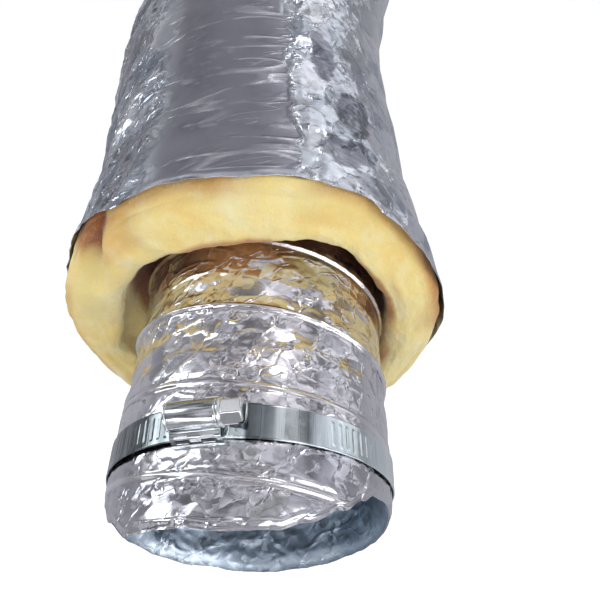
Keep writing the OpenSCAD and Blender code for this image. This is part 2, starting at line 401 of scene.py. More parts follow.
def foil_material(name, base, alt, rough=(0.12, 0.26), seed=0.0, tone=None, layers=((95, 0.2, 2, 0.5),), lines=False,
                  dark_reflection=0.5, dim=(0.4, 0.4, 0.44), fold=0.8):
    """Crumpled aluminium foil: metal whose tint and polish drift, broken into small flat panels, with painted shade and
    painted highlights.
    """
    m = Nodes(name)
    drift = m.noise(45 + seed, 3, 0.6)
    col = m.mix(m.range(drift, 0.35, 0.68, 0, 1), base, alt)
    # painted shade: the foil is darkened where it folds inwards
    crease = m.attr("crease")
    col = m.mix(m.math("MULTIPLY", crease, 0.4), col, tuple(c * 0.5 for c in base))
    # painted shade and dark reflection: one attribute mixes in a darker tone, the other near black in the deepest folds
    if tone:
        col = m.mix(m.attr("tone"), col, tone)
        col = m.mix(m.attr("deep"), col, (0.10, 0.10, 0.12))
    rg = m.range(m.noise(160, 4, 0.65), 0.3, 0.75, *rough)
    crisp = m.attr("crisp")
    sk = []
    for k, (per_m, tilt, length, turn) in enumerate(layers):
        gate = m.range(m.noise(48 + 17 * k + seed, 2, 0.5), 0.42, 0.60, (0.6, 0.25, 0.0)[min(k, 2)], 1.0)
        sk.append((per_m, m.math("MULTIPLY", m.math("MULTIPLY", crisp, gate), tilt), length, turn))
    n = m.facets(sk)
    # panels that happen to face something dark: painted dark reflection on random facets
    split = [m.nt.nodes.new("ShaderNodeSeparateXYZ") for _ in m.cells[:2]]
    for sp, c in zip(split, m.cells):
        m.link(c, sp.inputs[0])
    shade = m.math("ADD", m.math("MULTIPLY", split[0].outputs[0], 0.55), m.math("MULTIPLY", split[-1].outputs[1], 0.45))
    shade = m.math("MULTIPLY", m.range(shade, 0.52, 0.24, 0, 1), m.math("MULTIPLY", crisp, dark_reflection))
    col = m.mix(shade, col, dim)
    # creases between them, caught by the light here and there: bumped, and lightened in colour as a painted highlight
    e1 = m.math("MULTIPLY", m.range(m.edges[0], 0.0, 0.05, 1, 0), m.range(m.noise(95, 2, 0.5), 0.44, 0.60, 0, 1))
    e2 = m.math("MULTIPLY", m.range(m.edges[1], 0.0, 0.07, 1, 0), m.range(m.noise(140, 2, 0.5), 0.48, 0.62, 0, 0.8))
    ed = m.math("MULTIPLY", m.math("MAXIMUM", e1, e2), crisp)
    n = m.bump(ed, fold, 0.0007, n)
    col = m.mix(m.math("MULTIPLY", ed, 0.5 * fold), col, (0.97, 0.97, 0.99))
    if lines:
        # straight wrinkles across the taut foil: bumped, and lightened in colour as painted highlight lines
        l1 = m.noise(72, 1.5, 0.4, src=m.stretch(7, 0.13))
        l1 = m.range(m.math("ABSOLUTE", m.math("SUBTRACT", l1, 0.5)), 0.0, 0.040, 1, 0)
        l2 = m.noise(170, 1, 0.4, src=m.stretch(6, 0.30))
        l2 = m.range(m.math("ABSOLUTE", m.math("SUBTRACT", l2, 0.5)), 0.0, 0.05, 1, 0)
        gate = m.range(m.noise(34, 3, 0.6), 0.46, 0.60, 0, 1)
        gate2 = m.range(m.noise(52, 3, 0.6), 0.50, 0.62, 0, 1)
        hgt = m.math("ADD", m.math("MULTIPLY", l1, gate), m.math("MULTIPLY", m.math("MULTIPLY", l2, gate2), 0.4))
        hgt = m.math("MULTIPLY", hgt, m.attr("taut"))
        n = m.bump(hgt, 0.75, 0.0008, n)
        col = m.mix(m.math("MULTIPLY", hgt, 0.55), col, (0.78, 0.78, 0.82))
        rg = m.math("ADD", rg, m.math("MULTIPLY", m.attr("taut"), 0.16))
    n = m.bump(m.noise(1500, 2, 0.5), 0.03, 0.0004, n)
    m.set(Base_Color=col, Metallic=1.0, Roughness=rg, Normal=n)
    return m.mat


core_out_mat = foil_material("core_foil_outside", (0.86, 0.82, 0.84), (0.76, 0.76, 0.79), tone=(0.50, 0.50, 0.54), fold=0.35,
                             layers=((80, 0.20, 2.4, 0.55), (170, 0.27, 2.0, 0.7), (360, 0.22, 1.6, -0.4)), dark_reflection=0.38, dim=(0.46, 0.45, 0.48))
# the inside's foil is given a darker, bluer base than the outside: painted shade inside the duct
core_in_mat = foil_material("core_foil_inside", (0.58, 0.68, 0.78), (0.68, 0.76, 0.84), (0.34, 0.48), seed=3, dark_reflection=0.5, dim=(0.30, 0.38, 0.46), fold=0.12,
                            layers=((90, 0.08, 1.6, 0.3), (200, 0.24, 1.5, -0.5), (420, 0.30, 1.3, 0.9)))
jacket_mat = foil_material("jacket_foil", (0.81, 0.81, 0.84), (0.70, 0.75, 0.82), (0.15, 0.32), seed=5, tone=(0.30, 0.30, 0.34),
                           layers=((50, 0.46, 3.0, 0.85), (110, 0.44, 2.4, 1.0), (300, 0.22, 1.6, 0.6)), lines=True,
                           dark_reflection=0.8, dim=(0.20, 0.25, 0.31))


def wool_material():
    m = Nodes("glass_wool")
    big = m.noise(22, 4, 0.6)
    mid = m.noise(85, 4, 0.6)
    col = m.ramp(big, [(0.30, (0.91, 0.63, 0.21)), (0.44, (0.92, 0.72, 0.27)), (0.56, (0.93, 0.76, 0.32)), (0.75, (0.94, 0.83, 0.46))])
    col = m.mix(m.range(mid, 0.50, 0.72, 0, 0.6), col, (0.96, 0.89, 0.56))
    spot = m.noise(31, 3, 0.55, dist=0.4)
    col = m.mix(m.range(spot, 0.60, 0.78, 0, 0.45), col, (0.80, 0.49, 0.12))
    green = m.noise(27, 2, 0.5, src=m.mapping((1, 1.3, 0.8), (1.1, 0.4, 0.2)))
    col = m.mix(m.range(green, 0.58, 0.76, 0, 0.35), col, (0.62, 0.60, 0.26))
    # brown stains, and painted shadow in the tucked recess and along the inner edge left of the core
    col = m.mix(m.attr("stain"), col, (0.50, 0.19, 0.035))
    # painted deep shade in the gap round the core
    col = m.mix(m.attr("deep"), col, (0.27, 0.08, 0.03))
    fib = m.noise(900, 3, 0.7, src=m.mapping((1, 0.25, 1), (0.3, 0.5, 0.2)))
    fib2 = m.noise(1500, 2, 0.6, src=m.mapping((0.3, 1, 1), (0.9, -0.4, 0.7)))
    col = m.mix(m.range(fib, 0.55, 0.75, 0, 0.22), col, (0.97, 0.92, 0.75))
    m.set(Base_Color=col, Roughness=0.95, Metallic=0.0)
    m.set(Subsurface_Weight=0.35, Subsurface_Radius=(1.0, 0.6, 0.3), Subsurface_Scale=0.004)
    m.set(Sheen_Weight=0.25, Sheen_Roughness=0.6)
    m.set(Specular_IOR_Level=0.15)
    b = m.bump(fib, 0.5, 0.0012)
    b = m.bump(fib2, 0.35, 0.0006, b)
    m.set(Normal=b)
    return m.mat


wool_mat = wool_material()


def steel_material(name, base, dark, streak=(1, 1, 1), rough=(0.10, 0.24), streak_amt=0.5):
    m = Nodes(name)
    s = m.noise(60, 4, 0.65, src=m.mapping(streak))
    fine = m.noise(1400, 2, 0.5, src=m.mapping((1, 0.05, 1)))
    col = m.mix(m.range(s, 0.38, 0.66, 0, streak_amt), base, dark)
    # where the dark attribute is set the steel goes toward near black: painted reflection bands on the housing, a
    # painted dark reflection on the band left of it, and a darker strip right of the screw
    col = m.mix(m.attr("dark"), col, tuple(c * 0.2 for c in dark))
    m.set(Base_Color=col, Metallic=1.0)
    m.set(Roughness=m.range(m.noise(300, 4, 0.6), 0.3, 0.7, *rough))
    b = m.bump(fine, 0.08, 0.0003)
    m.set(Normal=b)
    return m.mat


band_mat = steel_material("band_steel", (0.80, 0.86, 0.87), (0.46, 0.54, 0.57), (1, 0.02, 1), (0.08, 0.2), 0.55)
house_mat = steel_material("housing_steel", (0.74, 0.78, 0.79), (0.55, 0.60, 0.62), (1, 1, 1), (0.1, 0.22), 0.35)
screw_mat = steel_material("screw_steel", (0.80, 0.82, 0.82), (0.62, 0.66, 0.67), (1, 1, 1), (0.08, 0.2), 0.3)
slot_mat = steel_material("slot_shadow", (0.05, 0.06, 0.07), (0.02, 0.02, 0.03), (1, 1, 1), (0.35, 0.5), 0.3)
wire_mat = steel_material("spring_wire", (0.55, 0.55, 0.56), (0.4, 0.4, 0.42), (1, 1, 1), (0.2, 0.35), 0.3)


def finish(ob, mat):
    ob.data.materials.clear()
    ob.data.materials.append(mat)


# ------------------------------------------------------------------ the core's foil
CORE_C = 2 * math.pi * 52.5


def rim_y(a):
    """The mouth's ragged, slanting cut."""
    a = wrap180(a)
    y = pchip(a, [-180, -137, -112, -92, -72, -55, -40, -20, -4, 3, 14, 24, 38, 49, 57, 72, 90, 124, 150, 180],
              [13.6, 14.2, 15.8, 18.0, 17.5, 9, 1.8, 1.9, 0.5, 0.9, 1.6, 4.7, 10.6, 16.3, 20.0, 21.2, 19.8, 17.3, 15.0, 13.6])
    u = a / 360.0
    z = 0 * u
    far = smooth01((np.abs(a) - 75) / 25)
    y = y + (0.25 + 0.2 * far) * lattice(u, z, 34, 10, 0, 900) + (0.12 + 0.12 * far) * lattice(u, z, 97, 10, 0, 901) + 0.08 * lattice(u, z, 240, 10, 0, 902)
    return np.maximum(y, 0.15)


def rim_wave(a):
    u = a / 360.0
    z = 0 * u
    return 0.35 * lattice(u, z, 12, 10, 0, 910, "smooth") + 0.15 * lattice(u, z, 41, 10, 0, 911)


def core_outer_back(a, y):
    d = bead_d(a, y)
    return 51.35 + 1.22 * np.exp(-(np.abs(d) / 1.5) ** 4)


def core_outer_face(a, y):
    u = a / 360.0
    d = bead_d(a, y)
    ad = np.abs(d)
    quiet = smooth01((ad - 0.9) / 2.6) * 0.94 + 0.06
    # large dished panels that lean from bead to bead, broken up in places by finer creases
    busy = smooth01((lattice(u, y, 13, 24, 2, 30, "smooth") + 0.25) / 0.7)
    busy2 = smooth01((lattice(u, y, 27, 12, 1, 31, "smooth") + 0.05) / 0.6)
    uu, vv = warped(u, y, CORE_C, 12, 11, 0.35)
    h = 0.8 * (cells(uu, vv, CORE_C, 12.5, 2.1, 5, 12) - 0.3)
    h = h + crumple(u, y, CORE_C, 11, [(15, 1.8, 0.55, 5), (7.4, 1.8, 0.36, 7)])
    h = h + (0.15 + 0.65 * busy) * crumple(u, y, CORE_C, 17, [(3.6, 1.7, 0.17, 6)])
    h = h + busy2 * crumple(u, y, CORE_C, 19, [(1.8, 1.4, 0.05, -3)])
    h = h - 0.2 * (0.15 + 0.85 * busy2) * (cells(u, y, CORE_C, 3.1, 1.5, -5, 14) - 0.3)
    rid = ridges(u, y, CORE_C, 71, 7, 4.2, 0.10, 6, 0.05) * 0.42
    pl = crumple(u, y, CORE_C, 41, [(14, 0.2, 0.14, 1)]) * np.exp(-(ad / 4.5) ** 2) * smooth01((ad - 1.2) / 1.5)
    mouth = 1 - smooth01((y - 54) / 14.0)
    sag = -(0.75 - 0.75 * mouth) * smooth01(ad / 9.0)
    bead = (1.3 - 0.6 * mouth) * np.exp(-(ad / 0.75) ** 2.2)
    r = 52.45 + 0.35 * mouth + 0.4 * mouth * smooth01((ad - 1.5) / 3.0) + sag + bead + (h + rid + pl) * quiet
    swell = 0.9 * np.exp(-((y - 24.5) / 4.0) ** 4) + 0.7 * np.exp(-((y - 43.5) / 3.0) ** 4)
    r = r + swell * smooth01((np.abs(wrap180(a - HOUSE_A)) - 10) / 8.0)
    # kept inside the clamp's path
    cap = 53.55 + 1.4 * smooth01((y - 60) / 8.0) + 0.9 * smooth01((7 - y) / 5.0)
    r = cap - np.log1p(np.exp((cap - r) * 5.0)) / 5.0
    fa = wrap180(a) - HOUSE_A
    under = np.exp(-(fa / 13.0) ** 6) * smooth01((62 - y) / 4.0) * smooth01((y - 3.2) / 1.5)
    r = r - under * np.clip(r - 53.02, 0, 2)
    grip = np.exp(-((y - BAND_Y) / 6.5) ** 4)
    r = r - grip * 0.25 * np.clip(r - 52.6, 0, 2)
    return np.maximum(r, core_outer_back(a, y) + 0.12)


def core_inner_face(a, y):
    u = a / 360.0
    d = bead_d(a, y)
    h = -0.35 * (cells(u, y, CORE_C, 7, 1.3, 4, 212) - 0.3)
    h = h + crumple(u, y, CORE_C, 211, [(15, 1.3, 0.2, 2), (6, 1.3, 0.24, 3), (3.2, 1.3, 0.17, 2), (1.8, 1.3, 0.07, -2)])
    rid = ridges(u, y, CORE_C, 271, 6, 3.5, 0.14, 4, 0.2) * 0.3
    r = 50.35 + h - rid - 0.35 * np.exp(-(np.abs(d) / 1.0) ** 2.2)
    return np.clip(r, 49.0, 51.02)


def crease_of(R, k=2):
    """How sharply the surface folds inwards, 0..1, from the second difference."""
    c = np.zeros_like(R)
    c[k:-k] += R[k:-k] - 0.5 * (R[2 * k:] + R[:-2 * k])
    c += R - 0.5 * (np.roll(R, k, 1) + np.roll(R, -k, 1))
    return np.clip(-c * 6.0, 0, 1)


def angles(n):
    return (np.arange(n) / n * 360.0 - 180.0)[None, :]


def core_outer_piece(name, y0, y1, n, step, rim=False):
    a = angles(n)
    rows = int(round((y1 - y0) / step)) + 1
    t = np.linspace(0, 1, rows)[:, None]
    start = rim_y(a) if rim else np.full_like(a, y0)
    Y = start + (y1 - start) * t
    A = np.broadcast_to(a, Y.shape)
    R = core_outer_face(A, Y)
    B = core_outer_back(A, Y)
    if rim:
        e = np.exp(-((Y - start) / 3.2) ** 2)
        w = rim_wave(A)
        R = R + e * (52.15 + w * 0.9 - R) + 0.5 * w * np.exp(-((Y - start) / 9.0) ** 2) * (1 - e)
        B = B + e * (51.98 + w * 0.9 - B)
        R = R + 0.42 * np.exp(-((Y - start - 2.3) / 0.7) ** 2)      # the fold behind the cut edge
        R = np.maximum(R, B + 0.1)
        R = np.where(e > 0.2, R, np.maximum(R, core_outer_back(A, Y) + 0.12))
    d = np.abs(bead_d(A, Y))
    quiet = 1 - 0.95 * np.exp(-(d / 1.3) ** 4)
    # painted shade: darker in front of the band and between the beads, the bead crowns left light
    core_shade = (0.72 * (1 - smooth01((Y - 25) / 6)) + 0.32) * (0.3 + 0.7 * quiet) * (0.8 + 0.5 * lattice(A / 360.0, Y, 15, 16, 2, 950, "smooth"))
    return shell(name, A, Y, R, B, True, attrs={"crease": crease_of(R), "crisp": quiet, "tone": np.clip(core_shade, 0, 1)})


def core_inner_piece(name, y0, y1, n, step, rim=False):
    a = angles(n)
    rows = int(round((y1 - y0) / step)) + 1
    t = np.linspace(0, 1, rows)[:, None]
    start = rim_y(a) + 0.15 if rim else np.full_like(a, y0)
    Y = start + (y1 - start) * t
    A = np.broadcast_to(a, Y.shape)
    R = core_inner_face(A, Y)
    B = np.full_like(R, 51.2)
    if rim:
        e = np.exp(-((Y - start) / 3.2) ** 2)
        w = rim_wave(A)
        R = R + e * (51.62 + w * 0.9 - R)
        B = B + e * (51.8 + w * 0.9 - B)
    return shell(name, A, Y, R, B, False, attrs={"crease": crease_of(-R), "crisp": 1.0})


NC = 680
o = core_outer_piece("core_outer_foil_mouth", 0, 33.5, NC, 0.5, True)
finish(o, core_out_mat)
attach(o, "front_section")
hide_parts("core_outer_ply_mouth")
for tag, y0, y1 in (("bare", 33.5, 78.0), ("bare_rear", 78.0, 122.0)):
    o = core_outer_piece(f"core_outer_foil_{tag}", y0, y1, NC, 0.5)
    finish(o, core_out_mat)
    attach(o, "front_section")
    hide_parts("core_outer_ply_mouth")
o = core_outer_piece("core_outer_foil_covered", 122, CUFF_END, 220, 1.6)
finish(o, core_out_mat)
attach(o, "front_section")
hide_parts("core_outer_ply_front")

o = core_inner_piece("core_inner_foil_mouth", 0, 70, 560, 0.75, True)
finish(o, core_in_mat)
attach(o, "front_section")
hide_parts("core_inner_ply_front")
o = core_inner_piece("core_inner_foil_front", 70, CUFF_END, 280, 1.4)
finish(o, core_in_mat)
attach(o, "front_section")
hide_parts("core_inner_ply_front")

BLENDS = [("front_section", "mid_front_section", 272, 412, "mid_front"),
          ("mid_front_section", "mid_rear_section", 414, 550, "mid_rear"),
          ("mid_rear_section", "rear_section", 556, 744, "rear")]
# the swing turns about y = 342 and the lift about y = 482, half-way along each of these
for (y0, y1), (a_, b_, s_, e_, tag) in zip(ZONES, BLENDS):
    for kind in ("outer", "inner"):
        fn = core_outer_piece if kind == "outer" else core_inner_piece
        o = fn(f"core_{kind}_foil_{tag}", y0, y1, 180, 2.2)
        finish(o, core_out_mat if kind == "outer" else core_in_mat)
        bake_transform(o)
        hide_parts(f"core_{kind}_ply_{tag}")


# ------------------------------------------------------------------ the wire helix
def wire_piece(name, y0, y1, sides=8):
    a0 = (BEAD_Y0 - (y1 - 0.1)) * 360 / LEAD
    a1 = (BEAD_Y0 - (y0 + 0.1)) * 360 / LEAD
    n = int(abs(a1 - a0) / 4) + 1
    a = np.linspace(a0, a1, n)[:, None]
    q = (np.arange(sides) / sides * 2 * np.pi)[None, :]
    y = BEAD_Y0 - LEAD * a / 360 + 0.46 * np.sin(q)
    r = 51.93 + 0.46 * np.cos(q) + 0 * a
    P = polar(r, y, a + 0 * r)
    f = [grid_faces(n, sides, 0, True, False)]
    verts = P.reshape(-1, 3)
    c0, c1 = verts[:sides].mean(0), verts[-sides:].mean(0)
    k = len(verts)
    verts = np.concatenate([verts, [c0, c1]])
    j = np.arange(sides)
    jn = (j + 1) % sides
    f += [np.stack([jn, j, 0 * j + k], -1), np.stack([(n - 1) * sides + j, (n - 1) * sides + jn, 0 * j + k + 1], -1)]
    ob = new_mesh(name, verts, f)
    finish(ob, wire_mat)
    return ob


o = wire_piece("helix_wire_bare", 26, CUFF_END)
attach(o, "front_section")
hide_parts("helix_wire_front")
for (y0, y1), (a_, b_, s_, e_, tag) in zip(ZONES, BLENDS):
    o = wire_piece(f"helix_wire_{tag}_run", y0, y1)
    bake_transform(o)
    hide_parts(f"helix_wire_{tag}")

# ------------------------------------------------------------------ sleeve: shared shape
SLEEVE_C = 2 * math.pi * 79.0


def sleeve_x(y):
    """The sleeve lies a little to the left of the core just behind its mouth."""
    return pchip(y, [100, 118, 150, 185, 215, 245, 275, 315, 370, 430, 800], [-4.0, -4.2, -6.3, -8.6, -10.5, -13.0, -15.0, -15.0, -9.0, 0, 0])


def sleeve_r(y):
    return pchip(y, [100, 112, 122, 150, 180, 240, 760, 772, 800], [84.0, 84.0, 83.4, 80.0, 77.6, 77.8, 78.4, 78.4, 78.4])


def sleeve_soft(u, y):
    """Slow swells of the soft blanket under the foil."""
    return 1.1 * lattice(u, y, 5, 55, 1, 330, "smooth") + 0.7 * lattice(u, y, 9, 28, 1, 331, "smooth")


# ------------------------------------------------------------------ jacket
def lip_y(a):
    a = wrap180(a)
    y = pchip(a, [-180, -120, -80, -64, -49, -36, -26, -14, 0, 14, 21, 31, 40, 51, 57, 69, 90, 120, 180],
              [118, 120, 121, 121, 118.5, 113, 115, 114, 113.6, 116.3, 115.6, 118.5, 114, 111.5, 110, 110, 112, 115, 118])
    u = a / 360.0
    z = 0 * u
    return y + 0.9 * lattice(u, z, 30, 10, 0, 950) + 0.45 * lattice(u, z, 84, 10, 0, 951)


LAP_A = 14.0


def jacket_zones(a, y):
    """Weights of the creased left, the taut middle and the broadly folded right of the foil."""
    u = a / 360.0
    aw = wrap180(a)
    w = 7.0 * lattice(u, y, 9, 26, 0, 401, "smooth") + 3.0 * lattice(u, y, 24, 9, -1, 402, "smooth")
    left = smooth01((-27 + w - aw) / 7)
    right = smooth01((aw - LAP_A - 1.6 * lattice(u, y, 60, 7, 0, 403) - 1.2 * lattice(u, y, 140, 3.2, 0, 404)) / 1.0)
    back = smooth01((np.abs(aw) - 95) / 25)      # away from the front both kinds mix
    mid = (1 - left) * (1 - right)
    return left, mid, right * (1 - 0.4 * back), back


def jacket_face(a, y):
    u = a / 360.0
    aw = wrap180(a)
    left, mid, right, back = jacket_zones(a, y)
    uu, vv = warped(u, y, SLEEVE_C, 14, 410, 0.4)
    busy = smooth01((lattice(u, y, 17, 26, -2, 408, "smooth") + 0.3) / 0.7)
    hl = 1.5 * (cells(uu, vv, SLEEVE_C, 14, 0.9, -9, 412) - 0.3)
    hl = hl + crumple(u, y, SLEEVE_C, 411, [(12, 0.9, 1.0, -7), (6, 0.9, 0.75, -9), (3.3, 0.9, 0.38, -9), (2.0, 1.0, 0.15, 3)])
    hl = hl + 0.9 * ridges(u, y, SLEEVE_C, 415, 6, 1.6, 0.16, -8, 0.2)
    hr = 1.5 * (cells(uu, vv, SLEEVE_C, 19, 0.62, 3, 422) - 0.3)
    hr = hr + crumple(u, y, SLEEVE_C, 421, [(18, 0.7, 1.0, 3), (8.5, 0.75, 0.5, 4)])
    hr = hr + (0.1 + 0.9 * busy) * crumple(u, y, SLEEVE_C, 425, [(4.2, 0.8, 0.30, 3), (2.1, 0.9, 0.12, -3)])
    hm = crumple(u, y, SLEEVE_C, 431, [(34, 2.0, 0.30, 0)])
    hm = hm + 0.10 * (cells(u, y, SLEEVE_C, 9, 2.4, -2, 437) - 0.3)
    h = hl * left + hr * right * (1 - 0.45 * smooth01((aw - 50) / 20) * smooth01((110 - aw) / 25)) + hm * mid
    lap = 0.04 * smooth01((aw - LAP_A + 0.3) / 0.6) * (1 - smooth01((aw - LAP_A - 9) / 12))
    lap = lap + 0.03 * np.exp(-((aw - LAP_A - 1.2) / 1.6) ** 2) * lattice(u, y, 40, 17, 0, 440, "smooth")
    return sleeve_r(y) + 0.75 + sleeve_soft(u, y) * (0.12 + 0.88 * (1 - mid)) + 0.62 * h + lap


def jacket_attrs(a, y, R):
    left, mid, right, back = jacket_zones(a, y)
    aw = wrap180(a)
    u = a / 360.0
    rag = 1.15 + 0.5 * lattice(u, y, 60, 5, 2, 470) + 0.3 * lattice(u, y, 120, 2.6, 2, 471)
    # painted dark reflection over the taut middle, less of it towards its left edge
    tone = mid * (0.95 - 0.3 * smooth01((aw + 20) / -8))
    deep = 0 * tone
    gaps = smooth01((np.abs(lattice(u, y, 70, 2.2, 6, 475)) - 0.08) / 0.25)
    # folds of the right side that turn away from the light
    for a0, y0, wa, wy, lean, k in ((26.5, 212, 4.5, 20, 0.0, 1.0), (36, 177, 6, 18, 0.12, 0.95), (30, 144, 9, 10, 0.3, 0.85),
                                    (17.0, 160, 1.6, 22, 0.0, 0.45), (40, 222, 4, 12, 0, 0.5), (36, 128, 5, 7, -0.3, 0.6)):
        q = ((aw - a0 - lean * (y - y0)) / wa) ** 2 + ((y - y0) / wy) ** 2
        tone = np.maximum(tone, k * smooth01((1.15 * rag - q) / 0.25))
        deep = np.maximum(deep, 0.75 * k * k * smooth01((1.05 * rag - q) / 0.3) * (0.25 + 0.75 * gaps))
    # painted dark reflection in patches over the creased left
    tone = np.maximum(tone, 0.75 * left * smooth01((lattice(u, y, 26, 17, -4, 472, "smooth") - 0.0) / 0.3))
    return {"crease": crease_of(R), "deep": np.clip(deep * (1 - mid), 0, 1), "tone": np.clip(tone, 0, 1), "crisp": np.clip(left + (1 - 0.6 * tone) * 0.62 * right * (1 - 0.5 * smooth01((aw - 55) / 20) * smooth01((115 - aw) / 25)) + 0.05 * mid, 0, 1),
            "taut": np.clip(mid * 1.0, 0, 1)}


def jacket_piece(name, y0, y1, n, step, lip=False, rear=False):
    a = angles(n)
    rows = int(round((y1 - y0) / step)) + 1
    t = np.linspace(0, 1, rows)[:, None]
    start = lip_y(a) if lip else np.full_like(a, y0)
    Y = start + (y1 - start) * t
    A = np.broadcast_to(a, Y.shape)
    R = jacket_face(A, Y)
    B = R - 0.42
    if lip:
        e = np.exp(-((Y - start) / 5.0) ** 2)
        w = 0.5 * lattice(A / 360.0, 0 * A, 26, 10, 0, 960, "smooth") + 0.3 * lattice(A / 360.0, 0 * A, 70, 10, 0, 961)
        R = R + e * (0.75 + w)
        B = R - 0.42 + 0.2 * np.exp(-((Y - start) / 1.5) ** 2)
    if rear:
        R = R + 0.0
    X = sleeve_x(Y)
    at = jacket_attrs(A, Y, R)
    if lip:
        # the first few mm behind the lip are kept out of the painted shade, so the rolled edge stays light
        back = smooth01((Y - start - 2.6 - 1.2 * lattice(A / 360.0, 0 * A, 40, 10, 0, 962)) / 0.8)
        at["tone"] = at["tone"] * back
        at["taut"] = at["taut"] * back
    return shell(name, A, Y, R, B, True, offs=(X, 0.0), attrs=at, back_step=4)


NJ = 480
for tag, y0, y1, step, node in (("cuff", LIP, 190.0, 0.85, "jacket_cuff"), ("front", 190.0, CUFF_END, 1.0, "jacket_front")):
    o = jacket_piece(f"jacket_foil_{tag}", y0, y1, 640, step, tag == "cuff")
    finish(o, jacket_mat)
    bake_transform(o)
    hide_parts(node)
for (y0, y1), (a_, b_, s_, e_, tag) in zip(ZONES, BLENDS):
    o = jacket_piece(f"jacket_foil_{tag}", y0, y1, NJ, 1.8)
    finish(o, jacket_mat)
    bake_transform(o)
    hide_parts(f"jacket_{tag}")

# ------------------------------------------------------------------ glass-wool blanket
SEAM_A = -152.0


def wool_lump(u, y, k=1.0):
    return k * (1.9 * lattice(u, y, 11, 22, 1, 520, "smooth") + 1.25 * lattice(u, y, 26, 10, -1, 521, "smooth")
                + 0.55 * lattice(u, y, 64, 5, 1, 522, "smooth") + 0.22 * lattice(u, y, 150, 2.4, 1, 523, "smooth")
                + 0.12 * lattice(u, y, 330, 1.1, -1, 524, "smooth"))


